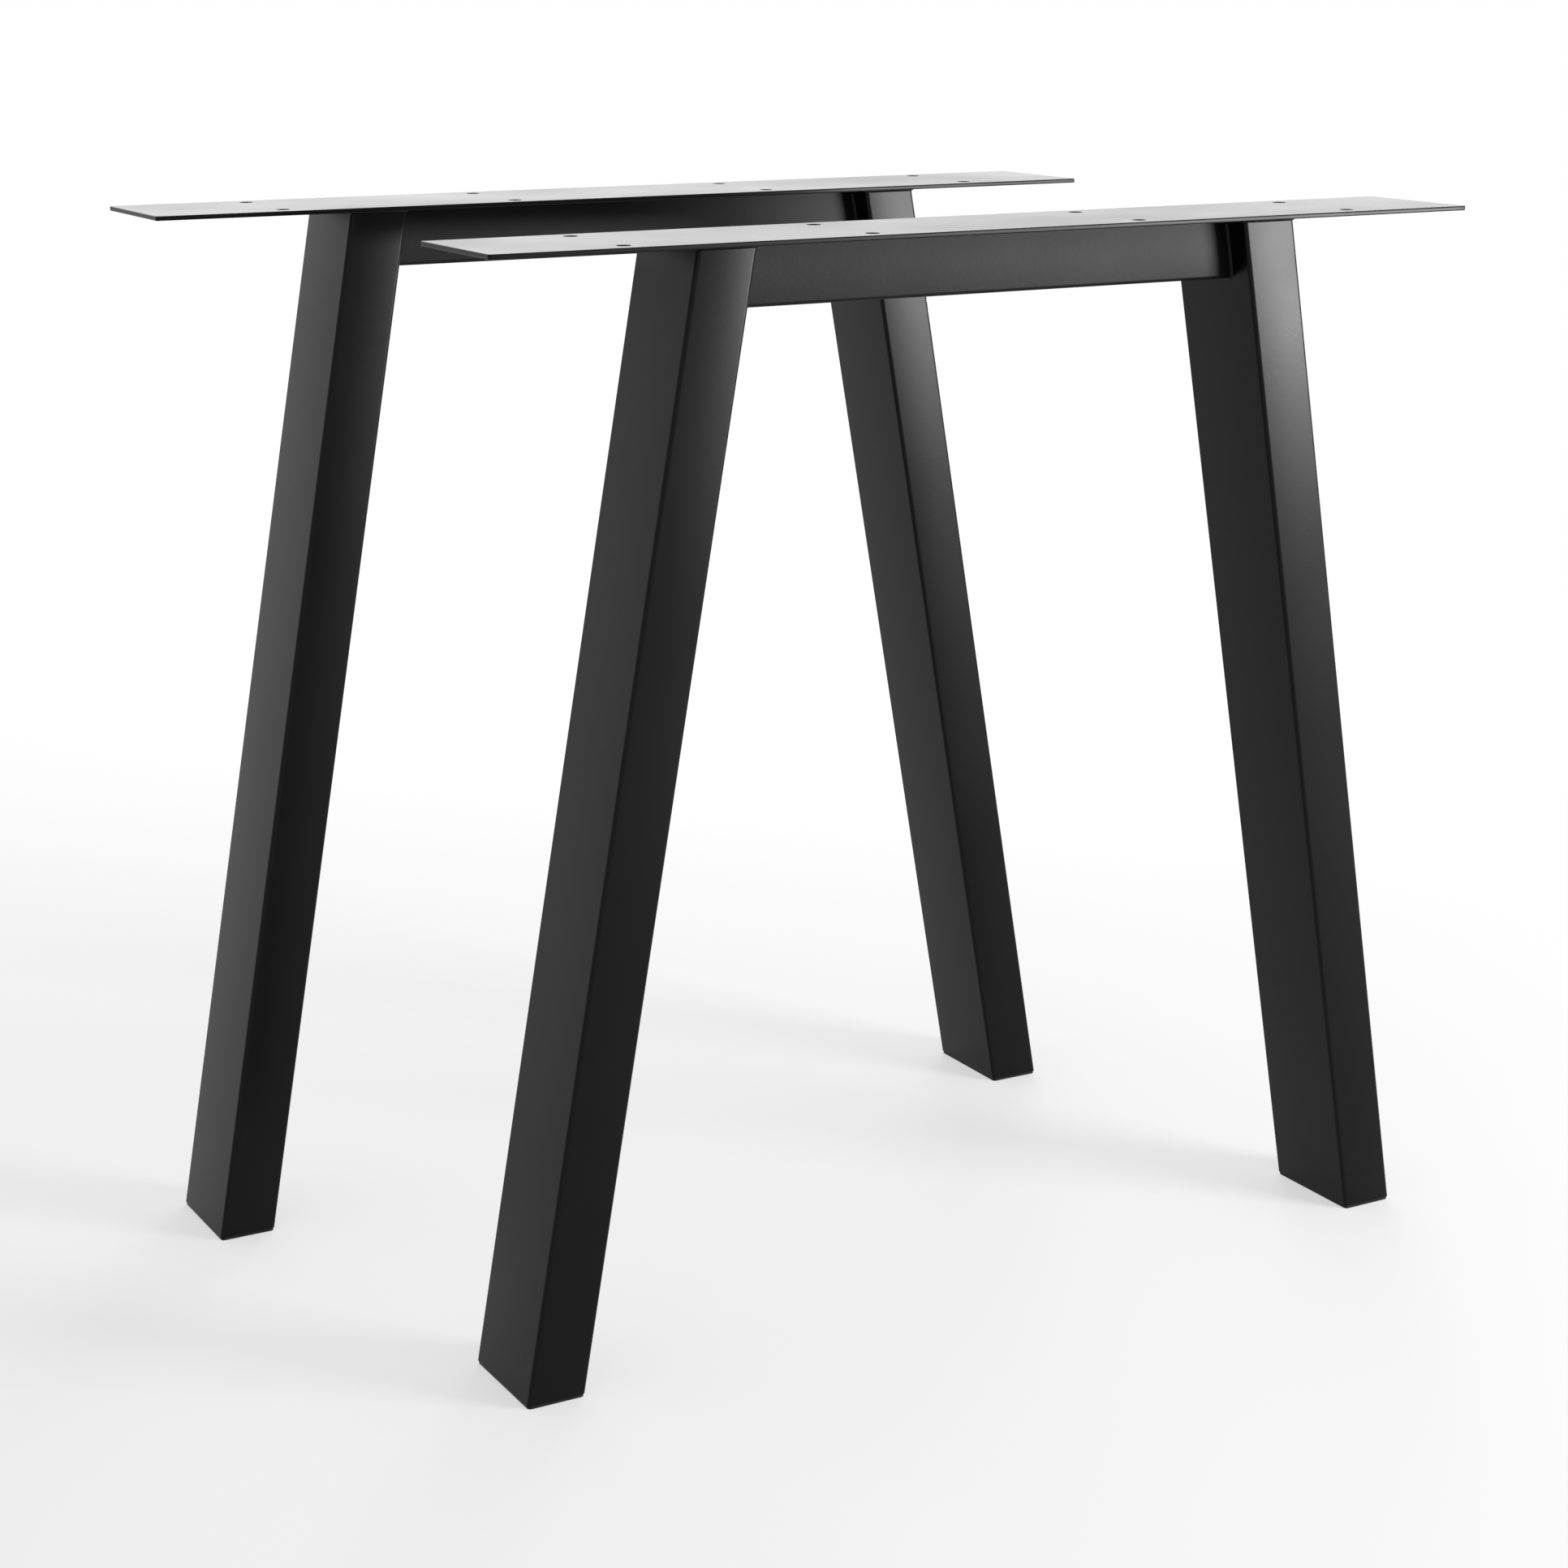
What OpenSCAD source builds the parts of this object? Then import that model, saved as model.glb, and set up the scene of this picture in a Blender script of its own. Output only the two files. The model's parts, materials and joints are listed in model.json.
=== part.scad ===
// A pair of A-frame table trestles in black powder-coated steel.
// Each is a flat plate on two slanted tubes with a square crossbar between them, welded together.
// The floor is Z = 0, X runs along the plates, and Y runs from the front trestle to the rear one.

/* [Frame] */
// Height from the floor to the top of the plate
height = 727; // [500:1:1000]
// Width over the outer faces of the legs at the floor
foot_spread = 702; // [600:1:900]
// Width over the outer faces of the legs under the plate
top_spread = 445; // [380:1:520]

/* [Top plate] */
// Length of the plate
plate_length = 725; // [650:1:1000]
// Width of the plate
plate_width = 100; // [90:1:160]
// Thickness of the plate
plate_thickness = 3; // [2:0.5:8]
// Radius of the plate's corners
plate_corner = 2; // [0.5:0.5:8]

/* [Screw holes] */
// Diameter of the holes
hole_diameter = 9; // [5:0.5:12]
// Distance between the two outer columns of holes
outer_hole_spacing = 540; // [500:1:600]
// Distance between the two inner columns of holes
inner_hole_spacing = 200; // [80:1:280]
// Distance between the two rows of holes
hole_row_spacing = 72; // [60:1:80]

/* [Legs] */
// Thickness of a leg tube, square to its length
leg_thickness = 40; // [30:1:50]
// Depth of a leg tube, across the plate
leg_depth = 80; // [60:1:90]
// Wall of a leg tube
leg_wall = 2; // [1.5:0.5:4]
// Outside corner radius of a leg tube
leg_corner = 2.5; // [1:0.5:6]

/* [Crossbar] */
// Height of the crossbar tube
crossbar_height = 40; // [25:1:60]
// Depth of the crossbar tube, across the plate
crossbar_depth = 40; // [25:1:50]
// Wall of the crossbar tube
crossbar_wall = 2; // [1.5:0.5:4]
// Outside corner radius of the crossbar tube
crossbar_corner = 2.5; // [1:0.5:6]

/* [Welds] */
// Side length of the fillet welds
weld_size = 2; // [1.5:0.5:5]

/* [Foot plugs] */
// Thickness of the sole between the tube and the floor
sole_thickness = 2; // [1:0.5:6]
// Distance of the sole's edge inside the outer faces of the tube
sole_inset = 0.5; // [0.2:0.1:1.5]
// Length of the plug inside the tube, above the sole
plug_reach = 28; // [20:1:50]
// Wall of the plug's hollow core
plug_wall = 2.5; // [1.5:0.5:4]
// Gap between the plug's core and the inside of the tube
core_clearance = 1.5; // [0.5:0.5:3]
// Gap between the plug's ribs and the inside of the tube
rib_clearance = 0.1; // [0.05:0.05:0.3]
// Thickness of a rib
rib_thickness = 1.5; // [1:0.5:3]
// Number of ribs round the core
rib_count = 3; // [1:1:5]

/* [Pair] */
// Distance between the middles of the trestles, across the plates
pair_spacing = 350; // [180:1:1600]
// Distance by which the front trestle stands further along X than the rear one
pair_stagger = 80; // [-300:1:300]

/* [Hidden] */
$fn = 48;
steel_black = [0.05, 0.05, 0.055];
plug_black = [0.03, 0.03, 0.03];

// The legs lean inwards, from the floor to the underside of the plate
leg_top = height - plate_thickness;
tilt = atan((foot_spread - top_spread) / 2 / leg_top);
leg_half_width = leg_thickness / cos(tilt) / 2;
foot_centre = foot_spread / 2 - leg_half_width;
leg_axis_length = leg_top / cos(tilt);

// Shapes that are trimmed by a plane first run past it by this much
overrun = leg_thickness;

crossbar_bottom = leg_top - crossbar_height;
rib_pitch = plug_reach / (rib_count + 1);

// Distance of a leg's middle and of its inner face from the trestle's middle, at a height
function leg_middle(z) = foot_centre - z * tan(tilt);
function leg_inner_face(z) = leg_middle(z) - leg_half_width;

// Inside corner radius of a tube, which stays round in a thick wall
function inner_corner(corner, wall) = max(corner - wall, corner / 5);

module rounded_rectangle(x, y, corner) {
    square([x - 2 * corner, y], center = true);
    square([x, y - 2 * corner], center = true);
    for (sx = [-1, 1], sy = [-1, 1])
        translate([sx * (x / 2 - corner), sy * (y / 2 - corner)])
            circle(r = corner);
}

// Everything between two heights
module layer(low, high) {
    translate([-foot_spread, -plate_width, low])
        cube([2 * foot_spread, 2 * plate_width, high - low]);
}

// An outline in X and Z, drawn out along Y
module across_plate(points) {
    rotate([90, 0, 0])
        linear_extrude(2 * plate_width, center = true)
            polygon(points);
}

// A straight bar along the slant of a leg, set in from the leg's outer faces; side is -1 or 1
module leg_bar(side, inset, corner) {
    translate([side * foot_centre, 0, 0])
        rotate([0, -side * tilt, 0])
            translate([0, 0, -overrun])
                linear_extrude(leg_axis_length + 2 * overrun)
                    rounded_rectangle(leg_thickness - 2 * inset, leg_depth - 2 * inset, corner);
}

// A straight bar along the crossbar, set in from its outer faces, with ends inside the legs
module crossbar_bar(inset, corner) {
    translate([0, 0, leg_top - crossbar_height / 2])
        rotate([0, 90, 0])
            linear_extrude(2 * leg_middle(leg_top), center = true)
                rounded_rectangle(crossbar_height - 2 * inset, crossbar_depth - 2 * inset, corner);
}

// The crossbar's outline without its hollow, and everything straight above its flat top
module crossbar_room() {
    flat_depth = crossbar_depth - 2 * crossbar_corner;
    crossbar_bar(0, crossbar_corner);
    translate([-leg_middle(leg_top), -flat_depth / 2, leg_top - crossbar_height / 2])
        cube([2 * leg_middle(leg_top), flat_depth, crossbar_height]);
}

// The space between the inner faces of the legs, from below the crossbar to above it
module between_legs() {
    low = crossbar_bottom - overrun;
    high = leg_top + overrun;
    across_plate([
        [-leg_inner_face(low), low],
        [leg_inner_face(low), low],
        [leg_inner_face(high), high],
        [-leg_inner_face(high), high]
    ]);
}

module top_plate() {
    color(steel_black)
        translate([0, 0, leg_top])
            linear_extrude(plate_thickness)
                difference() {
                    rounded_rectangle(plate_length, plate_width, plate_corner);
                    for (spacing = [outer_hole_spacing, inner_hole_spacing], sx = [-1, 1], sy = [-1, 1])
                        translate([sx * spacing / 2, sy * hole_row_spacing / 2])
                            circle(d = hole_diameter);
                }
}

module leg(side) {
    color(steel_black)
        intersection() {
            layer(sole_thickness, leg_top);
            difference() {
                leg_bar(side, 0, leg_corner);
                leg_bar(side, leg_wall, inner_corner(leg_corner, leg_wall));
            }
        }
}

module crossbar() {
    color(steel_black)
        intersection() {
            between_legs();
            difference() {
                crossbar_bar(0, crossbar_corner);
                crossbar_bar(crossbar_wall, inner_corner(crossbar_corner, crossbar_wall));
            }
        }
}

// A hipped block round the top of a leg, wider than the leg by a weld at the plate
module leg_weld_block(side) {
    low = leg_top - 2 * weld_size;
    wide = leg_half_width + weld_size;
    narrow = leg_half_width - weld_size;
    deep = leg_depth / 2 + weld_size;
    shallow = leg_depth / 2 - weld_size;
    intersection() {
        across_plate([
            [side * leg_middle(leg_top) - wide, leg_top],
            [side * leg_middle(leg_top) + wide, leg_top],
            [side * leg_middle(low) + narrow, low],
            [side * leg_middle(low) - narrow, low]
        ]);
        rotate([90, 0, 90])
            linear_extrude(2 * foot_spread, center = true)
                polygon([[-deep, leg_top], [deep, leg_top], [shallow, low], [-shallow, low]]);
    }
}

// Fillet weld round the top of a leg, under the plate and beside the crossbar
module leg_weld(side) {
    color(steel_black)
        difference() {
            leg_weld_block(side);
            leg_bar(side, 0, leg_corner);
            crossbar_room();
        }
}

// Fillet weld round the crossbar's end on a leg: down the front, underneath and up the back
module crossbar_end_weld(side) {
    toe = leg_thickness / 2;
    wide = crossbar_depth / 2 + weld_size;
    narrow = crossbar_depth / 2 - weld_size;
    low = crossbar_bottom - weld_size;
    high = leg_top - weld_size;
    reach = leg_inner_face(crossbar_bottom) - 2 * weld_size - weld_size * tan(tilt);
    color(steel_black)
        difference() {
            intersection() {
                across_plate([
                    [side * leg_inner_face(low), low],
                    [side * leg_inner_face(high), high],
                    [side * reach, high],
                    [side * reach, crossbar_bottom + weld_size]
                ]);
                translate([side * foot_centre, 0, 0])
                    rotate([0, -side * tilt, 0])
                        linear_extrude(leg_axis_length + overrun)
                            polygon([
                                [-side * toe, -wide],
                                [-side * toe, wide],
                                [-side * (toe + 2 * weld_size), narrow],
                                [-side * (toe + 2 * weld_size), -narrow]
                            ]);
            }
            crossbar_room();
        }
}

// Fillet welds along the crossbar's two top edges, under the plate
module crossbar_plate_weld() {
    low = leg_top - 2 * weld_size;
    wide = crossbar_depth / 2 + weld_size;
    narrow = crossbar_depth / 2 - weld_size;
    color(steel_black)
        difference() {
            intersection() {
                between_legs();
                rotate([90, 0, 90])
                    linear_extrude(foot_spread, center = true)
                        polygon([[-wide, leg_top], [wide, leg_top], [narrow, low], [-narrow, low]]);
            }
            crossbar_room();
            leg_weld_block(-1);
            leg_weld_block(1);
        }
}

// Plastic plug: a sole under the tube's end, and a hollow core with ribs that grip the tube
module foot_plug(side) {
    core_inset = leg_wall + core_clearance;
    core_corner = inner_corner(leg_corner, leg_wall);
    color(plug_black) {
        translate([side * leg_middle(sole_thickness), 0, 0])
            linear_extrude(sole_thickness)
                rounded_rectangle(2 * (leg_half_width - sole_inset), leg_depth - 2 * sole_inset, leg_corner);
        difference() {
            union() {
                intersection() {
                    layer(sole_thickness / 2, sole_thickness + plug_reach);
                    leg_bar(side, core_inset, core_corner);
                }
                for (i = [1 : rib_count])
                    intersection() {
                        layer(sole_thickness + i * rib_pitch, sole_thickness + i * rib_pitch + rib_thickness);
                        leg_bar(side, leg_wall + rib_clearance, core_corner);
                    }
            }
            intersection() {
                layer(sole_thickness, sole_thickness + plug_reach + overrun);
                leg_bar(side, core_inset + plug_wall, core_corner);
            }
        }
    }
}

// The front trestle stands at +X and -Y of the middle of the pair, the rear one opposite
module front() {
    translate([pair_stagger / 2, -pair_spacing / 2, 0])
        children();
}

module rear() {
    translate([-pair_stagger / 2, pair_spacing / 2, 0])
        children();
}

front() top_plate();  // front_top_plate
front() leg(-1);  // front_left_leg
front() leg(1);  // front_right_leg
front() crossbar();  // front_crossbar
front() leg_weld(-1);  // front_left_leg_weld
front() leg_weld(1);  // front_right_leg_weld
front() crossbar_end_weld(-1);  // front_crossbar_left_weld
front() crossbar_end_weld(1);  // front_crossbar_right_weld
front() crossbar_plate_weld();  // front_crossbar_plate_weld
front() foot_plug(-1);  // front_left_foot_plug
front() foot_plug(1);  // front_right_foot_plug
rear() top_plate();  // rear_top_plate
rear() leg(-1);  // rear_left_leg
rear() leg(1);  // rear_right_leg
rear() crossbar();  // rear_crossbar
rear() leg_weld(-1);  // rear_left_leg_weld
rear() leg_weld(1);  // rear_right_leg_weld
rear() crossbar_end_weld(-1);  // rear_crossbar_left_weld
rear() crossbar_end_weld(1);  // rear_crossbar_right_weld
rear() crossbar_plate_weld();  // rear_crossbar_plate_weld
rear() foot_plug(-1);  // rear_left_foot_plug
rear() foot_plug(1);  // rear_right_foot_plug
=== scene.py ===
import json
import math

import bpy
import numpy as np
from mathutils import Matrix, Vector


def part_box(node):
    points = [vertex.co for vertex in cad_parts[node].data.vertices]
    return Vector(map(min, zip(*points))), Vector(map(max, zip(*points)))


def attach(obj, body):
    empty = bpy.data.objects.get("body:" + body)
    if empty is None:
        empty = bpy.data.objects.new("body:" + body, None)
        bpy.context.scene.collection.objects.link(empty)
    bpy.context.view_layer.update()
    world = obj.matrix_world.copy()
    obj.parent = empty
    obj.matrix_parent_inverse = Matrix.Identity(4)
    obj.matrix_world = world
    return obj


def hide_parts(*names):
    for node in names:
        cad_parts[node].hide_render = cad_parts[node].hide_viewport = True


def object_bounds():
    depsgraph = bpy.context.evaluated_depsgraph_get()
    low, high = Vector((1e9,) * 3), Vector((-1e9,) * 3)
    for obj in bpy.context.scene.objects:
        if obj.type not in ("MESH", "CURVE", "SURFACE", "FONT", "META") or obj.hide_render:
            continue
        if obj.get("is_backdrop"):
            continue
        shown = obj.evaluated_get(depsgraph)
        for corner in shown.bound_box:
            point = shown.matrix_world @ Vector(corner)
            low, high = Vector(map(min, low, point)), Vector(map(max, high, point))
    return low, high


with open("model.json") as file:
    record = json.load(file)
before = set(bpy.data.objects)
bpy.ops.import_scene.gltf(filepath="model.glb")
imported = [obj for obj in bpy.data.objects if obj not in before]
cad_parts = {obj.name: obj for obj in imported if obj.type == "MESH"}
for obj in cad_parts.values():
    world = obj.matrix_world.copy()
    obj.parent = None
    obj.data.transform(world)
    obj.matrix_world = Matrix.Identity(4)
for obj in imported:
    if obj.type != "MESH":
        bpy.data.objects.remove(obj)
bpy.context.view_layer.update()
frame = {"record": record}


# Top plates: each trestle carries the table top on one flat bar of 3 mm mild steel, cut square and drilled
# for eight table screws. The cut edges are broken with a file, and the powder coat rounds them further.
TRESTLES = ("front", "rear")
MILLIMETRE = 0.001
ROUNDING = 1e-7
PLATE_CORNER = 0.002
PLATE_EDGE = 0.0005
EDGE_STEPS = 4
LENGTHWISE_STEPS = 8
CROSSWISE_STEPS = 4
HOLE_PATCH = 0.009
HOLE_STEPS = 12


def stretches(stops, steps):
    """Points along a line: each stretch between two neighbouring stops is divided into equal steps."""
    parts = [np.linspace(a, b, n, endpoint=False) for a, b, n in zip(stops[:-1], stops[1:], steps)]
    return np.append(np.concatenate(parts), stops[-1])


def round_plate_corners(x, y, half_x, half_y, corner):
    """Bends the corner squares of a grid into quarter discs.
    The larger of a point's two distances into the square becomes its radius, and their ratio its angle."""
    into_x = np.clip((np.abs(x) - half_x) / corner + 1, 0, None)
    into_y = np.clip((np.abs(y) - half_y) / corner + 1, 0, None)
    radius = np.maximum(into_x, into_y)
    ratio = np.minimum(into_x, into_y) / np.maximum(radius, ROUNDING)
    angle = np.where(into_x >= into_y, ratio, 2 - ratio) * math.pi / 4
    inside = (into_x > 0) & (into_y > 0)
    round_x = np.sign(x) * (half_x - corner + corner * radius * np.cos(angle))
    round_y = np.sign(y) * (half_y - corner + corner * radius * np.sin(angle))
    return np.where(inside, round_x, x), np.where(inside, round_y, y)


def strips(loops):
    """Four-cornered faces between each closed loop of point numbers and the next one.
    The numbers' last axis runs along a loop, and the one before it from loop to loop."""
    following = np.roll(loops, -1, axis=-1)
    corners = [loops[..., :-1, :], following[..., :-1, :], following[..., 1:, :], loops[..., 1:, :]]
    return np.stack(corners, -1).reshape(-1, 4)


def drilled_plate(length, width, low, high, columns, rows, hole_radius):
    """Flat bar with round holes: a grid over X and Y for the top and the bottom, in which the square patch
    round each hole is drawn in to a circle, and quarter-round edges that join top and bottom."""
    half_x, half_y, corner = length / 2 - PLATE_EDGE, width / 2 - PLATE_EDGE, PLATE_CORNER - PLATE_EDGE
    patch = np.array([-HOLE_PATCH, HOLE_PATCH])
    x = stretches(
        [-half_x, corner - half_x, *(columns[:, None] + patch).ravel(), half_x - corner, half_x],
        [EDGE_STEPS, *[LENGTHWISE_STEPS, HOLE_STEPS] * len(columns), LENGTHWISE_STEPS, EDGE_STEPS],
    )
    y = stretches(
        [-half_y, corner - half_y, *(rows[:, None] + patch).ravel(), half_y - corner, half_y],
        [EDGE_STEPS, *[CROSSWISE_STEPS, HOLE_STEPS] * len(rows), CROSSWISE_STEPS, EDGE_STEPS],
    )
    grid_x, grid_y = np.meshgrid(x, y, indexing="ij")
    number = np.arange(grid_x.size).reshape(grid_x.shape)
    grid_x, grid_y = round_plate_corners(grid_x, grid_y, half_x, half_y, corner)
    flat = np.stack([grid_x.ravel(), grid_y.ravel()], 1)

    # Top and bottom are the grid's squares, without those in a hole's patch.
    near_column = (np.abs((x[:-1] + x[1:])[:, None] / 2 - columns) < HOLE_PATCH).any(1)
    near_row = (np.abs((y[:-1] + y[1:])[:, None] / 2 - rows) < HOLE_PATCH).any(1)
    kept = ~(near_column[:, None] & near_row)
    top = np.stack([number[:-1, :-1], number[1:, :-1], number[1:, 1:], number[:-1, 1:]], -1)[kept]
    bottom = top[:, ::-1] + flat.shape[0]

    # A rounded edge goes out and down from the top, and down and in to the bottom.
    quarter = np.linspace(0, math.pi / 2, EDGE_STEPS + 1)[1:]
    out = np.concatenate([np.sin(quarter), np.sin(quarter)[::-1]]) * PLATE_EDGE
    down = (1 - np.cos(quarter)) * PLATE_EDGE
    level = np.concatenate([high - down, low + down[::-1]])

    # The outer edge carries the grid's rim out, away from the corner's centre or square to the side.
    rim = np.concatenate([number[:-1, 0], number[-1, :-1], number[:0:-1, -1], number[0, :0:-1]])
    inner = np.clip(flat[rim], [corner - half_x, corner - half_y], [half_x - corner, half_y - corner])
    outward = (flat[rim] - inner) / np.linalg.norm(flat[rim] - inner, axis=1, keepdims=True)
    band = np.empty((len(level), len(rim), 3))
    band[..., :2] = flat[rim] + out[:, None, None] * outward
    band[..., 2] = level[:, None]

    # A hole's wall starts at its patch's square rim, which is drawn in by a half-way ring to the mouth.
    step = np.arange(HOLE_STEPS)
    still = np.zeros(HOLE_STEPS, int)
    ring_i = np.concatenate([step, still + HOLE_STEPS, HOLE_STEPS - step, still])
    ring_j = np.concatenate([still, step, still + HOLE_STEPS, HOLE_STEPS - step])
    hole_x, hole_y = (part.ravel() for part in np.meshgrid(columns, rows, indexing="ij"))
    first_i = np.searchsorted(x, hole_x - HOLE_PATCH - ROUNDING)
    first_j = np.searchsorted(y, hole_y - HOLE_PATCH - ROUNDING)
    square = number[first_i[:, None] + ring_i, first_j[:, None] + ring_j]
    angle = (np.arange(4 * HOLE_STEPS) / HOLE_STEPS - 1.5) * math.pi / 2
    circle = np.stack([np.cos(angle), np.sin(angle)], 1)
    middle = np.stack([hole_x, hole_y], 1)[:, None]
    mouth = hole_radius + PLATE_EDGE
    half_way = (flat[square] + middle + mouth * circle) / 2
    wall = np.empty((len(hole_x), len(level) + 4, 4 * HOLE_STEPS, 3))
    wall[:, 0, :, :2] = wall[:, -1, :, :2] = half_way
    radii = np.concatenate([[mouth], mouth - out, [mouth]])
    wall[:, 1:-1, :, :2] = middle[:, None] + radii[:, None, None] * circle
    wall[..., 2] = np.concatenate([[high, high], level, [low, low]])[:, None]

    points = np.concatenate([
        np.column_stack([flat, np.full(len(flat), high)]),
        np.column_stack([flat, np.full(len(flat), low)]),
        band.reshape(-1, 3),
        wall.reshape(-1, 3),
    ])
    band_number = 2 * len(flat) + np.arange(band.size // 3).reshape(band.shape[:2])
    wall_number = 2 * len(flat) + band.size // 3 + np.arange(wall.size // 3).reshape(wall.shape[:3])
    band_loops = np.concatenate([rim[None], band_number, rim[None] + len(flat)])
    wall_loops = np.concatenate([square[:, None], wall_number, square[:, None] + len(flat)], 1)
    quads = np.concatenate([top, bottom, strips(band_loops)[:, ::-1], strips(wall_loops)])
    used, renumbered = np.unique(quads, return_inverse=True)
    return points[used], renumbered.reshape(-1, 4)


def add_piece(name, points, quads, material, trestle, node):
    """A smooth-shaded mesh with its place in its points, which stands for one CAD node of a trestle."""
    mesh = bpy.data.meshes.new(name)
    mesh.from_pydata(points.tolist(), [], quads.tolist())
    mesh.shade_smooth()
    mesh.materials.append(material)
    piece = bpy.data.objects.new(name, mesh)
    bpy.context.scene.collection.objects.link(piece)
    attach(piece, f"{trestle}_trestle")
    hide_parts(node)


CLOUDS_TO_THE_METRE = 9.0
PEEL_HEIGHT = 0.0001


def coat_skin():
    """Node group for a baked skin: clouds shift its tone and gloss over a hand's breadth, and its height is
    orange peel a few millimetres across with a fine grain on it."""
    group = bpy.data.node_groups.new("coat_skin", "ShaderNodeTree")
    sockets = group.interface
    for label in ("Peel Size", "Grain Size", "Grain Share", "Smooth", "Rough"):
        sockets.new_socket(label, in_out="INPUT", socket_type="NodeSocketFloat")
    for label in ("Dark Tone", "Light Tone"):
        sockets.new_socket(label, in_out="INPUT", socket_type="NodeSocketColor")
    sockets.new_socket("Tone", in_out="OUTPUT", socket_type="NodeSocketColor")
    for label in ("Gloss", "Height"):
        sockets.new_socket(label, in_out="OUTPUT", socket_type="NodeSocketFloat")
    nodes, links = group.nodes, group.links
    given = nodes.new("NodeGroupInput")
    result = nodes.new("NodeGroupOutput")
    place = nodes.new("ShaderNodeTexCoord")
    clouds, peel, grain = (nodes.new("ShaderNodeTexNoise") for _ in range(3))
    for texture, detail in ((clouds, 3.0), (peel, 1.0), (grain, 2.0)):
        texture.inputs["Detail"].default_value = detail
        links.new(place.outputs["Object"], texture.inputs["Vector"])
    clouds.inputs["Scale"].default_value = CLOUDS_TO_THE_METRE
    links.new(given.outputs["Peel Size"], peel.inputs["Scale"])
    links.new(given.outputs["Grain Size"], grain.inputs["Scale"])
    tone = nodes.new("ShaderNodeMix")
    tone.data_type = "RGBA"
    links.new(clouds.outputs["Fac"], tone.inputs["Factor"])
    links.new(given.outputs["Dark Tone"], tone.inputs["A"])
    links.new(given.outputs["Light Tone"], tone.inputs["B"])
    gloss = nodes.new("ShaderNodeMapRange")
    links.new(clouds.outputs["Fac"], gloss.inputs["Value"])
    links.new(given.outputs["Smooth"], gloss.inputs["To Min"])
    links.new(given.outputs["Rough"], gloss.inputs["To Max"])
    height = nodes.new("ShaderNodeMix")
    links.new(given.outputs["Grain Share"], height.inputs["Factor"])
    links.new(peel.outputs["Fac"], height.inputs["A"])
    links.new(grain.outputs["Fac"], height.inputs["B"])
    links.new(tone.outputs["Result"], result.inputs["Tone"])
    links.new(gloss.outputs["Result"], result.inputs["Gloss"])
    links.new(height.outputs["Result"], result.inputs["Height"])
    return group


COAT_SKIN = coat_skin()


def skin_material(name, dark, light, smooth, rough, peel, grain, grain_share, bump, specular):
    """A black finish from the shared skin: two tones, a range of roughness, the sizes of peel and grain as
    waves to the metre, the bump's strength and how strongly the surface mirrors at right angles."""
    material = bpy.data.materials.new(name)
    material.use_nodes = True
    nodes, links = material.node_tree.nodes, material.node_tree.links
    shader = nodes["Principled BSDF"]
    shader.inputs["Specular IOR Level"].default_value = specular
    skin = nodes.new("ShaderNodeGroup")
    skin.node_tree = COAT_SKIN
    values = {"Dark Tone": (*dark, 1), "Light Tone": (*light, 1), "Smooth": smooth, "Rough": rough,
              "Peel Size": peel, "Grain Size": grain, "Grain Share": grain_share}
    for label, value in values.items():
        skin.inputs[label].default_value = value
    relief = nodes.new("ShaderNodeBump")
    relief.inputs["Strength"].default_value = bump
    relief.inputs["Distance"].default_value = PEEL_HEIGHT
    links.new(skin.outputs["Tone"], shader.inputs["Base Color"])
    links.new(skin.outputs["Gloss"], shader.inputs["Roughness"])
    links.new(skin.outputs["Height"], relief.inputs["Height"])
    links.new(relief.outputs["Normal"], shader.inputs["Normal"])
    return material


COAT_DARK = (0.0034, 0.0034, 0.0037)
COAT_LIGHT = (0.0046, 0.0046, 0.0050)
COAT_GRAIN = 2400
COAT_SPECULAR = 0.12


def powder_coat(name, smooth, rough, peel, grain_share, bump):
    """The satin black powder coat of the steel, with the gloss and peel that it has on one kind of piece."""
    return skin_material(name, COAT_DARK, COAT_LIGHT, smooth, rough, peel, COAT_GRAIN, grain_share, bump,
                         COAT_SPECULAR)


plate_coat = powder_coat("plate_powder_coat", smooth=0.24, rough=0.36, peel=300, grain_share=0.1, bump=0.05)
mounts = {mount["name"]: mount for mount in frame["record"]["mounts"]}
for trestle in TRESTLES:
    low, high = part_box(f"{trestle}_top_plate")
    patterns = [mounts[f"{trestle}_{place}_screw_holes"]["dims"] for place in ("outer", "inner")]
    half_spacings = [dims["spacing_x_mm"] / 2 * MILLIMETRE for dims in patterns]
    columns = np.sort([side * half for half in half_spacings for side in (-1, 1)])
    rows = np.array([-1, 1]) * patterns[0]["spacing_y_mm"] / 2 * MILLIMETRE
    points, quads = drilled_plate(high.x - low.x, high.y - low.y, low.z, high.z, columns, rows,
                                  patterns[0]["hole_r_mm"] * MILLIMETRE)
    points[:, :2] += [(low.x + high.x) / 2, (low.y + high.y) / 2]
    add_piece(f"{trestle}_plate_bar", points, quads, plate_coat, trestle,
              f"{trestle}_top_plate")


# Legs: lengths of 80 x 40 mm rectangular steel tube with 2 mm walls, sawn on a slant at both ends so that
# they lean in under the plate. Cold rolling leaves the tube's corners round and its faces a little full.
SIDES = {"left": -1, "right": 1}
TUBE_THICKNESS = 0.040
TUBE_WALL = 0.002
TUBE_CORNER = 0.0025
TUBE_CROWN = 0.0005
SAWN_EDGE = 0.0004


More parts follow.
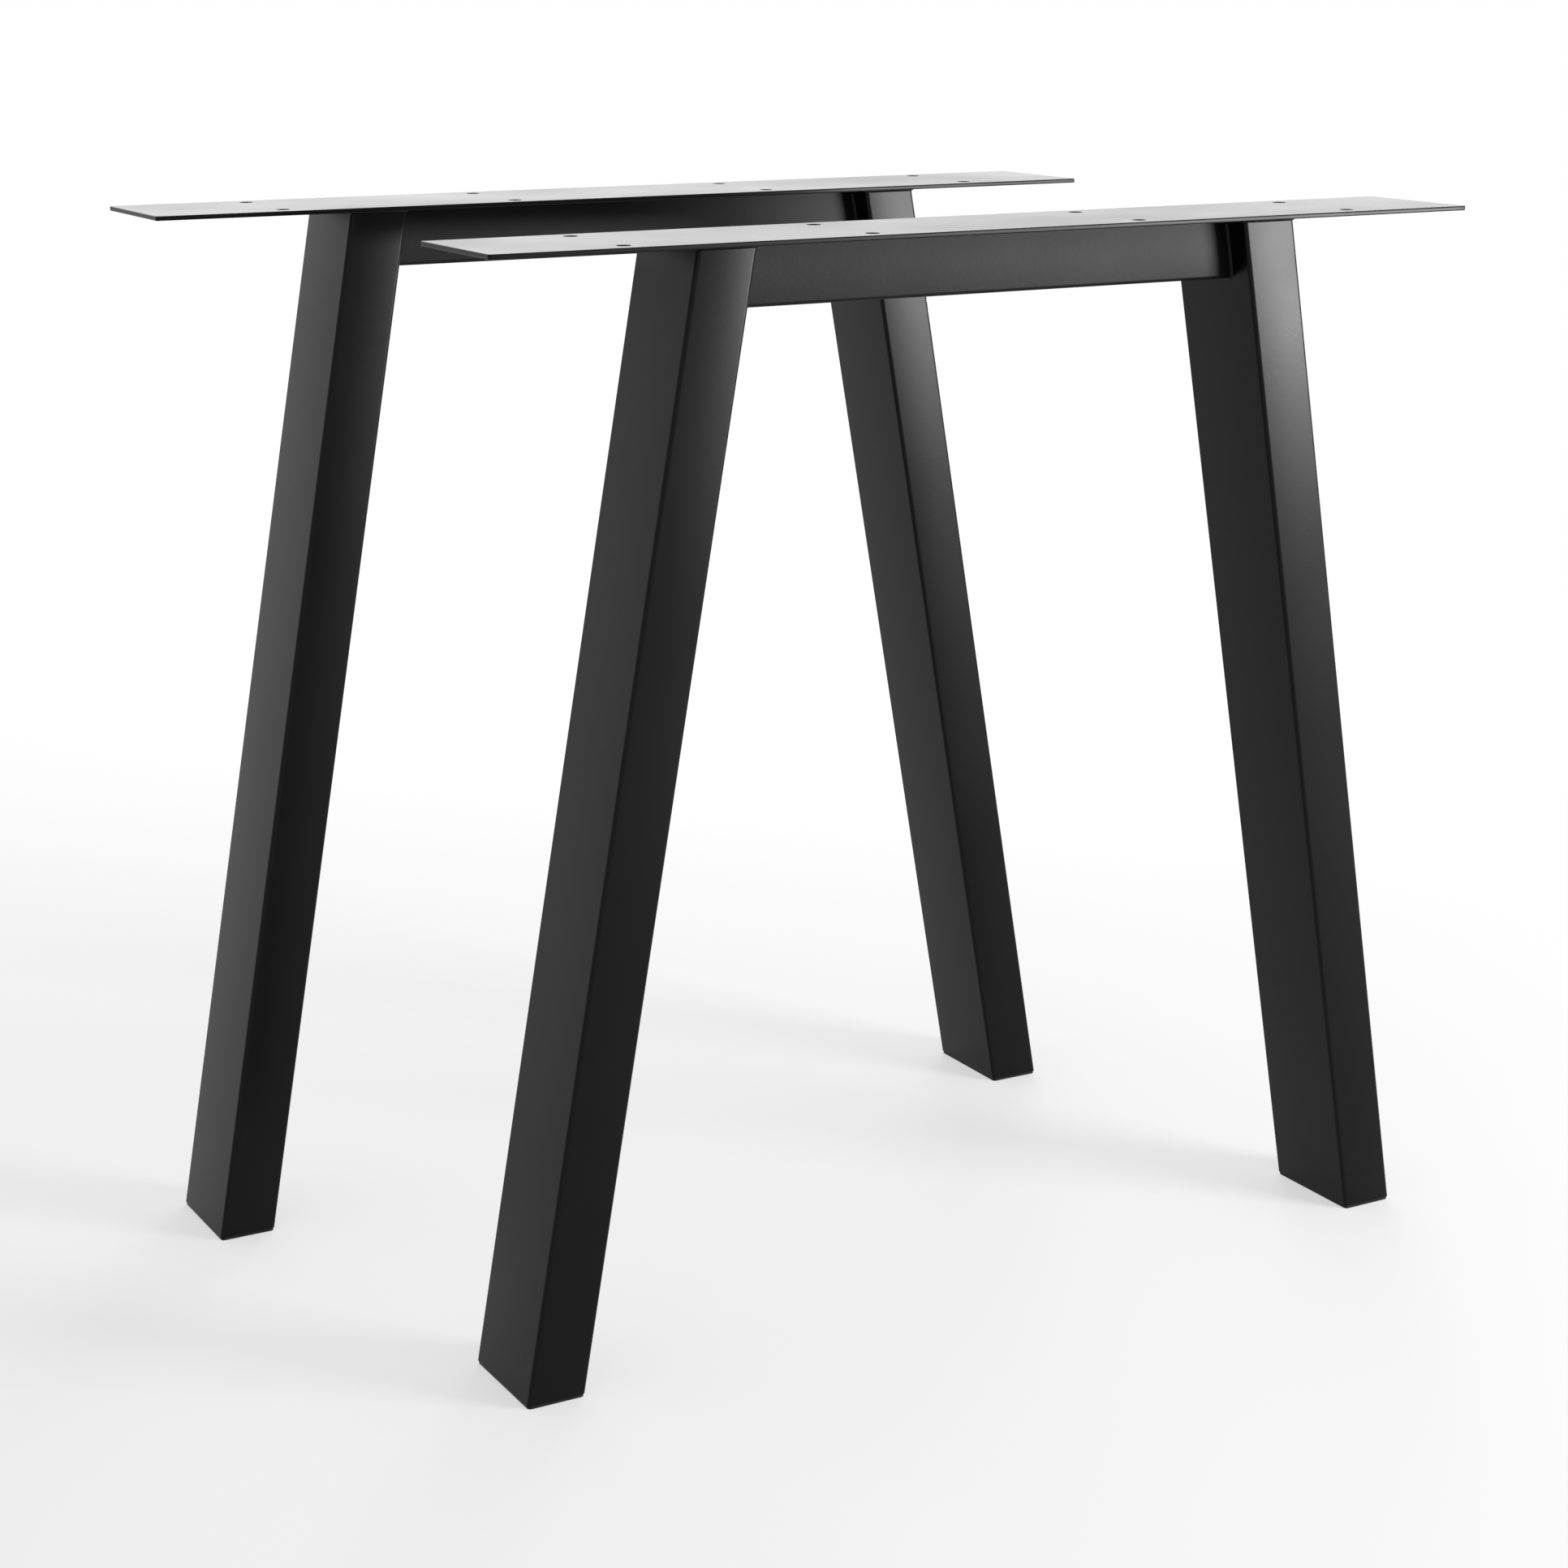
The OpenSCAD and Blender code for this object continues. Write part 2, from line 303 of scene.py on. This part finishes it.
class Leg:
    """Where a leg runs, from its box, which is as wide as the lean over its height plus the slanted tube."""

    def __init__(self, trestle, side):
        low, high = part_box(f"{trestle}_{side}_leg")
        wide, tall = high.x - low.x, high.z - low.z
        self.sign = SIDES[side]
        self.lean = math.acos(TUBE_THICKNESS / math.hypot(wide, tall)) - math.atan2(tall, wide)
        self.half_width = TUBE_THICKNESS / 2 / math.cos(self.lean)
        self.half_depth = (high.y - low.y) / 2
        self.y = (low.y + high.y) / 2
        self.low, self.high = low.z, high.z
        self.slope = -self.sign * math.tan(self.lean)
        foot = high.x - self.half_width if self.sign > 0 else low.x + self.half_width
        self.floor_x = foot - self.slope * low.z

    def middle(self, z):
        """X of the tube's middle at a height."""
        return self.floor_x + self.slope * z

    def inner_face(self, z):
        """X of the face that looks at the other leg, at a height."""
        return self.middle(z) - self.sign * self.half_width


def rounded_outline(stops_x, stops_y, arc_steps=8):
    """Outline of a rectangle with round corners, anticlockwise from the lower end of the +X +Y corner.
    Gives each point's corner centre, as shares of the inner half sizes, and its outward direction, so that
    a point of the outline is share * (half size - corner) + direction * corner."""
    shares, directions = [], []
    corners = np.array([[1, 1], [-1, 1], [-1, -1], [1, -1]])
    for quarter, (corner, following) in enumerate(zip(corners, np.roll(corners, -1, axis=0))):
        turn = (quarter + np.linspace(0, 1, arc_steps + 1)) * math.pi / 2
        arc = np.stack([np.cos(turn), np.sin(turn)], 1)
        stops = (stops_x, stops_y)[quarter % 2][:, None]
        shares += [np.tile(corner, (arc_steps + 1, 1)), corner + (following - corner) * stops]
        directions += [arc, np.tile(arc[-1], (len(stops), 1))]
    return np.concatenate(shares), np.concatenate(directions)


def side_stops(steps, margin):
    """Shares along a flat side: equal steps, and a stop close to each end that keeps its shading flat."""
    return np.concatenate([[margin], np.linspace(0, 1, steps + 1)[1:-1], [1 - margin]])


def tube_wall(length, steps):
    """Section along a tube's wall: a thin rectangle with round corners, as depth below the outer face and
    place along the tube, going forwards on the outside and back on the inside."""
    across, along = side_stops(steps=2, margin=0.2), side_stops(steps, margin=0.001)
    share, direction = rounded_outline(across, along, arc_steps=4)
    section = share * (np.array([TUBE_WALL, length]) / 2 - SAWN_EDGE) + direction * SAWN_EDGE
    return TUBE_WALL / 2 - section[:, :1], section[:, 1:]


def crowned(share, direction, half_a, half_b, depth):
    """Outline of a tube at a depth below its outer face: the corners lie on the nominal rectangle, and
    between them a face swells out by the crown, less by the square of the distance from its middle."""
    reach_a = TUBE_CORNER - depth + TUBE_CROWN * (1 - share[:, 1] ** 2)
    reach_b = TUBE_CORNER - depth + TUBE_CROWN * (1 - share[:, 0] ** 2)
    a = share[:, 0] * (half_a - TUBE_CORNER) + direction[:, 0] * reach_a
    b = share[:, 1] * (half_b - TUBE_CORNER) + direction[:, 1] * reach_b
    return a, b


def column(x, y, z):
    """Three coordinates, as arrays or single numbers, as one array of points."""
    return np.stack(np.broadcast_arrays(x, y, z), -1).astype(float)


def closed_tube(count_along, count_round):
    """Faces of a tube whose wall section, the first count, closes on itself after the last loop."""
    number = np.arange(count_along * count_round).reshape(count_along, count_round)
    return strips(np.concatenate([number, number[:1]]))


leg_coat = powder_coat("leg_powder_coat", smooth=0.24, rough=0.34, peel=420, grain_share=0.5, bump=0.3)
share, direction = rounded_outline(side_stops(steps=12, margin=0.012), side_stops(steps=16, margin=0.006))
for trestle in TRESTLES:
    for side in SIDES:
        leg = Leg(trestle, side)
        depth, along = tube_wall(leg.high - leg.low, steps=16)
        z = along + (leg.low + leg.high) / 2
        a, b = crowned(share, direction, TUBE_THICKNESS / 2, leg.half_depth, depth)
        points = column(leg.middle(z) + a / math.cos(leg.lean), leg.y + b, z).reshape(-1, 3)
        add_piece(f"{trestle}_{side}_leg_tube", points, closed_tube(len(depth), len(share)), leg_coat,
                  trestle, f"{trestle}_{side}_leg")


# Crossbars: a 40 mm square steel tube under each plate, with its ends mitred to the slant of the legs.
# It is welded to both legs and to the plate, and keeps the thin plate from bending.
crossbar_coat = powder_coat("crossbar_powder_coat", smooth=0.36, rough=0.46, peel=320, grain_share=0.3,
                            bump=0.5)
share, direction = rounded_outline(*[side_stops(steps=12, margin=0.012)] * 2)
for trestle in TRESTLES:
    low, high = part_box(f"{trestle}_crossbar")
    left, right = Leg(trestle, "left"), Leg(trestle, "right")
    half_y, half_z = (high.y - low.y) / 2, (high.z - low.z) / 2
    half_x = (right.inner_face(low.z + half_z) - left.inner_face(low.z + half_z)) / 2
    depth, along = tube_wall(2 * half_x, steps=12)
    a, b = crowned(share, direction, half_y, half_z, depth)
    y, z = left.y + a, low.z + half_z + b
    x = left.inner_face(z) + (right.inner_face(z) - left.inner_face(z)) * (along / half_x + 1) / 2
    points = column(x, y, z).reshape(-1, 3)
    add_piece(f"{trestle}_crossbar_tube", points, closed_tube(len(depth), len(share)), crossbar_coat,
              trestle, f"{trestle}_crossbar")


# Welds: small fillet beads where tubes meet each other and the plate, laid with wire and left as they are.
# The coat runs over their ripples, so only their slight swell shows.
WELD_SIZE = 0.002
BEAD_SWELL = 0.0002
BEAD_POINTS = 9
BEAD_STEP = 0.00055
BEAD_END = 0.002
BEAD_TIP = 0.2
RIPPLE_PITCH = 0.0022
RIPPLE_DEPTH = 0.00007
bead_coat = powder_coat("weld_powder_coat", smooth=0.26, rough=0.40, peel=500, grain_share=0.25, bump=0.7)


def ladder(loop):
    """Faces that close a flat loop with an even number of points, like rungs from one half to the other."""
    half = len(loop) // 2
    near, far = loop[:half], loop[half:][::-1]
    return np.stack([near[:-1], far[:-1], far[1:], near[1:]], 1)


def facing_out(points, quads):
    """The faces turned so that the closed surface holds a positive volume."""
    a, b, c, d = (points[quads[:, k]] for k in range(4))
    volume = (np.cross(a, b) * c).sum() + (np.cross(a, c) * d).sum()
    return quads if volume > 0 else quads[:, ::-1]


def weld_bead(root, down_first, down_second):
    """Fillet bead along a root line. Its face runs from a weld size down the first surface to a weld size
    down the second, and swells between them; ripples curve back along it, and both ends taper off with the
    root of the distance to the end, down to a small tip."""
    run = np.concatenate([[0], np.cumsum(np.linalg.norm(np.diff(root, axis=0), axis=1))])[:, None]
    share = np.linspace(0, 1, BEAD_POINTS)
    swell = np.sin(math.pi * share)
    phase = 2 * math.pi * (run / RIPPLE_PITCH - 0.5 * swell)
    to_end = np.minimum(run, run[-1] - run)
    size = np.sqrt(np.clip(to_end / BEAD_END, BEAD_TIP ** 2, 1)) * WELD_SIZE
    proud = (BEAD_SWELL + RIPPLE_DEPTH * np.sin(phase)) * swell * size / WELD_SIZE
    first = np.hstack([size * (1 - share) + proud, 0 * run])[..., None]
    second = np.hstack([size * share + proud, 0 * run])[..., None]
    points = root[:, None] + first * down_first[:, None] + second * down_second[:, None]
    number = np.arange(points.size // 3).reshape(points.shape[:2])
    quads = np.concatenate([strips(number), ladder(number[0])[:, ::-1], ladder(number[-1])])
    points = points.reshape(-1, 3)
    return points, facing_out(points, quads)


def along_outline(half_x, half_y, start, end):
    """Points and outward directions along a tube's outline, between two lengths of run measured
    anticlockwise from the lower end of the +X +Y corner, the second one past a whole turn."""
    share, direction = rounded_outline(*[side_stops(steps=16, margin=0.01)] * 2, arc_steps=12)
    edge = np.stack(crowned(share, direction, half_x, half_y, 0), 1)
    steps = np.linalg.norm(np.diff(edge, axis=0, append=edge[:1]), axis=1)
    run = np.cumsum(steps) - steps
    at = np.linspace(start, steps.sum() + end, int((steps.sum() + end - start) / BEAD_STEP))
    parts = [np.interp(at, run, values, period=steps.sum()) for values in (*edge.T, *direction.T)]
    return np.stack(parts[:2], 1), np.stack(parts[2:], 1)


for trestle in TRESTLES:
    low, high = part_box(f"{trestle}_crossbar")
    half_y, half_z = (high.y - low.y) / 2, (high.z - low.z) / 2
    for side in SIDES:
        # Round the top of a leg, from one side of the crossbar to the other.
        leg = Leg(trestle, side)
        start = half_y - (leg.half_depth - TUBE_CORNER)
        end = -half_y - (leg.half_depth - TUBE_CORNER)
        edge, outward = along_outline(TUBE_THICKNESS / 2, leg.half_depth, start, end)
        edge, outward = -leg.sign * edge, -leg.sign * outward
        root = column(leg.middle(leg.high) + edge[:, 0] / math.cos(leg.lean), leg.y + edge[:, 1], leg.high)
        points, quads = weld_bead(root, column(-leg.slope, 0 * edge[:, 0], -1),
                                  column(outward[:, 0], outward[:, 1], 0))
        add_piece(f"{trestle}_{side}_leg_bead", points, quads, bead_coat, trestle,
                  f"{trestle}_{side}_leg_weld")

        # Round an end of the crossbar, down one side, along below and up the other.
        start = math.pi * TUBE_CORNER + 2 * (half_y - TUBE_CORNER) + WELD_SIZE - TUBE_CORNER
        edge, outward = along_outline(half_y, half_z, start, TUBE_CORNER - WELD_SIZE)
        z = low.z + half_z + edge[:, 1]
        root = column(leg.inner_face(z), leg.y + edge[:, 0], z)
        points, quads = weld_bead(root, column(-leg.sign, 0 * z, 0),
                                  column(leg.slope * outward[:, 1], outward[:, 0], outward[:, 1]))
        add_piece(f"{trestle}_crossbar_{side}_bead", points, quads, bead_coat, trestle,
                  f"{trestle}_crossbar_{side}_weld")

    # Along both top edges of the crossbar, under the plate.
    left, right = Leg(trestle, "left"), Leg(trestle, "right")
    reach = right.inner_face(high.z) - left.inner_face(high.z) - 2 * WELD_SIZE
    x = left.inner_face(high.z) + WELD_SIZE + np.linspace(0, reach, int(reach / BEAD_STEP))
    points, quads = [], []
    for edge in (-1, 1):
        bead, faces = weld_bead(column(x, left.y + edge * half_y, high.z), column(0, 0, -1 + 0 * x),
                                column(0, edge, 0 * x))
        quads.append(faces + sum(map(len, points)))
        points.append(bead)
    add_piece(f"{trestle}_crossbar_plate_beads", np.concatenate(points), np.concatenate(quads), bead_coat,
              trestle, f"{trestle}_crossbar_plate_weld")


# Foot plugs: moulded black plastic caps pressed into the open lower ends of the legs. A thin sole keeps the
# steel off the floor, and ribs round a hollow core grip the inside of the tube.
SOLE_THICKNESS = 0.002
SOLE_INSET = 0.0005
SOLE_EDGE = 0.0004
CORE_INSET = 0.0035
CORE_CORNER = 0.0005
CORE_WALL = 0.0025
RIB_INSET = 0.0021
RIB_THICKNESS = 0.0015
RIB_COUNT = 3
PLUG_DARK = (0.006, 0.006, 0.006)
PLUG_LIGHT = (0.009, 0.009, 0.009)
plug_plastic = skin_material("foot_plastic", PLUG_DARK, PLUG_LIGHT, smooth=0.5, rough=0.62, peel=900,
                             grain=4000, grain_share=0.7, bump=0.6, specular=0.2)
share, direction = rounded_outline(side_stops(steps=4, margin=0.02), side_stops(steps=8, margin=0.02))
quarter = np.linspace(0, math.pi / 2, EDGE_STEPS + 1)
soft = SOLE_EDGE * (1 - np.sin(quarter))
rise = SOLE_EDGE * (1 - np.cos(quarter))
for trestle in TRESTLES:
    for side in SIDES:
        # The plug's profile, from the middle of the sole out and up, over the ribs and down into the core.
        leg = Leg(trestle, side)
        plug_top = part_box(f"{trestle}_{side}_foot_plug")[1].z
        rib = SOLE_THICKNESS + (plug_top - SOLE_THICKNESS) * np.arange(1, RIB_COUNT + 1) / (RIB_COUNT + 1)
        rib_z = np.stack([rib, rib, rib + RIB_THICKNESS, rib + RIB_THICKNESS], 1).ravel()
        rib_in = np.tile([CORE_INSET, RIB_INSET, RIB_INSET, CORE_INSET], RIB_COUNT)
        core_in = [CORE_INSET, CORE_INSET + CORE_WALL, CORE_INSET + CORE_WALL]
        core_z = [plug_top, plug_top, SOLE_THICKNESS]
        sole_in = [[CORE_INSET], SOLE_INSET + soft, SOLE_INSET + soft[::-1], [CORE_INSET]]
        sole_z = [[0], rise, SOLE_THICKNESS - rise[::-1], [SOLE_THICKNESS]]
        inset = np.concatenate([*sole_in, rib_in, core_in])[:, None]
        z = np.concatenate([*sole_z, rib_z, core_z])[:, None]
        corner = np.where(inset < RIB_INSET, TUBE_CORNER, CORE_CORNER)
        across = share[:, 0] * (TUBE_THICKNESS / 2 - inset - corner) + direction[:, 0] * corner
        y = leg.y + share[:, 1] * (leg.half_depth - inset - corner) + direction[:, 1] * corner
        x = leg.middle(np.maximum(z, SOLE_THICKNESS)) + across / math.cos(leg.lean)
        points = column(x, y, z).reshape(-1, 3)
        number = np.arange(len(points)).reshape(len(z), len(share))
        quads = np.concatenate([strips(number), ladder(number[0])[:, ::-1], ladder(number[-1])])
        add_piece(f"{trestle}_{side}_foot_cap", points, facing_out(points, quads), plug_plastic, trestle,
                  f"{trestle}_{side}_foot_plug")


# Floor: a wide sheet of matt pale paper under the trestles, which isn't part of them. Close by it keeps
# their shadows, and farther off it fades into the white of the studio.
FLOOR_HALF = 12.0
FLOOR_GREY = (0.6, 0.6, 0.6, 1)
FLOOR_GLOW = 0.53
FADE_START = 0.8
FADE_END = 2.6
corners = FLOOR_HALF * np.array([[-1, -1, 0], [1, -1, 0], [1, 1, 0], [-1, 1, 0]])
floor_mesh = bpy.data.meshes.new("studio_floor")
floor_mesh.from_pydata(corners.tolist(), [], [(0, 1, 2, 3)])
floor = bpy.data.objects.new("studio_floor", floor_mesh)
bpy.context.scene.collection.objects.link(floor)
floor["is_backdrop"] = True


def seen_rays(nodes, links):
    """1 on camera, glossy and transmission rays and 0 on all others."""
    rays = nodes.new("ShaderNodeLightPath")
    total = rays.outputs["Is Camera Ray"]
    for label in ("Is Glossy Ray", "Is Transmission Ray"):
        larger = nodes.new("ShaderNodeMath")
        larger.operation = "MAXIMUM"
        links.new(total, larger.inputs[0])
        links.new(rays.outputs[label], larger.inputs[1])
        total = larger.outputs["Value"]
    return total


paper = bpy.data.materials.new("floor_paper")
paper.use_nodes = True
nodes, links = paper.node_tree.nodes, paper.node_tree.links
nodes.remove(nodes["Principled BSDF"])
matt = nodes.new("ShaderNodeBsdfDiffuse")
matt.inputs["Color"].default_value = FLOOR_GREY
seen = seen_rays(nodes, links)
near_level = nodes.new("ShaderNodeMath")
near_level.operation = "MULTIPLY"
near_level.inputs[1].default_value = FLOOR_GLOW
near_glow, far_glow = (nodes.new("ShaderNodeEmission") for _ in range(2))
near = nodes.new("ShaderNodeAddShader")
place = nodes.new("ShaderNodeTexCoord")
distance = nodes.new("ShaderNodeVectorMath")
distance.operation = "LENGTH"
fade = nodes.new("ShaderNodeMapRange")
fade.interpolation_type = "SMOOTHSTEP"
fade.inputs["From Min"].default_value = FADE_START
fade.inputs["From Max"].default_value = FADE_END
sweep = nodes.new("ShaderNodeMixShader")
links.new(seen, near_level.inputs[0])
links.new(near_level.outputs["Value"], near_glow.inputs["Strength"])
links.new(seen, far_glow.inputs["Strength"])
links.new(matt.outputs["BSDF"], near.inputs[0])
links.new(near_glow.outputs["Emission"], near.inputs[1])
links.new(place.outputs["Object"], distance.inputs[0])
links.new(distance.outputs["Value"], fade.inputs["Value"])
links.new(fade.outputs["Result"], sweep.inputs["Fac"])
links.new(near.outputs["Shader"], sweep.inputs[1])
links.new(far_glow.outputs["Emission"], sweep.inputs[2])
links.new(sweep.outputs["Shader"], nodes["Material Output"].inputs["Surface"])
floor_mesh.materials.append(paper)


# Studio light: white surroundings, dimmer as a lamp than as a background, a long low softbox at the front
# right that gleams down the front faces, a wide dim one behind that the plates mirror, and a small low one
# at the back right that gleams on the right legs and the backs. The photograph's side sees little of it.
FILL = 0.4
studio = bpy.data.worlds.new("white_studio")
bpy.context.scene.world = studio
studio.use_nodes = True
nodes, links = studio.node_tree.nodes, studio.node_tree.links
level = nodes.new("ShaderNodeMapRange")
level.inputs["To Min"].default_value = FILL
level.inputs["To Max"].default_value = 1.0
links.new(seen_rays(nodes, links), level.inputs["Value"])
links.new(level.outputs["Result"], nodes["Background"].inputs["Strength"])
nodes["Background"].inputs["Color"].default_value = (1, 1, 1, 1)


def softbox(name, place, target, width, height, power):
    """A rectangular soft lamp that looks at a point and isn't seen itself."""
    lamp = bpy.data.lights.new(name, "AREA")
    lamp.shape = "RECTANGLE"
    lamp.size, lamp.size_y, lamp.energy = width, height, power
    box = bpy.data.objects.new(name, lamp)
    bpy.context.scene.collection.objects.link(box)
    box.location = place
    box.rotation_euler = (Vector(target) - Vector(place)).to_track_quat("-Z", "Y").to_euler()
    box.visible_camera = False


softbox("key_softbox", place=(1.77, -2.09, 0.53), target=(0.24, -0.225, 0.65),
        width=0.95, height=0.10, power=64)
softbox("back_softbox", place=(0.95, 2.20, 1.2), target=(0.1, -0.2, 0.7),
        width=3.8, height=0.9, power=16)
softbox("rim_softbox", place=(1.80, 2.30, 0.50), target=(0.0, 0.2, 0.6),
        width=0.95, height=0.16, power=22)


# Camera: a long lens at the front left, a little above the plates, as the trestles are seen in the
# photograph. Its place and turn are those from which both trestles together look most like it.
CAMERA_FROM_FRONT_TRESTLE = Vector((-1.080, -1.666, 0))
CAMERA_HEIGHT = 0.890
CAMERA_TURN = 0.51285
CAMERA_DROP = 0.26323
LENS_LENGTH = 70.42
SENSOR_WIDTH = 36.0
front_low, front_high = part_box("front_top_plate")
lens = bpy.data.cameras.new("product_camera")
lens.lens = LENS_LENGTH
lens.sensor_width = SENSOR_WIDTH
camera = bpy.data.objects.new("product_camera", lens)
bpy.context.scene.collection.objects.link(camera)
camera.location = (front_low + front_high) / 2 + CAMERA_FROM_FRONT_TRESTLE
camera.location.z = CAMERA_HEIGHT
camera.rotation_euler = (math.pi / 2 - CAMERA_DROP, 0, -CAMERA_TURN)
bpy.context.scene.camera = camera
bpy.context.scene.view_settings.view_transform = "Standard"


low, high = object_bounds()
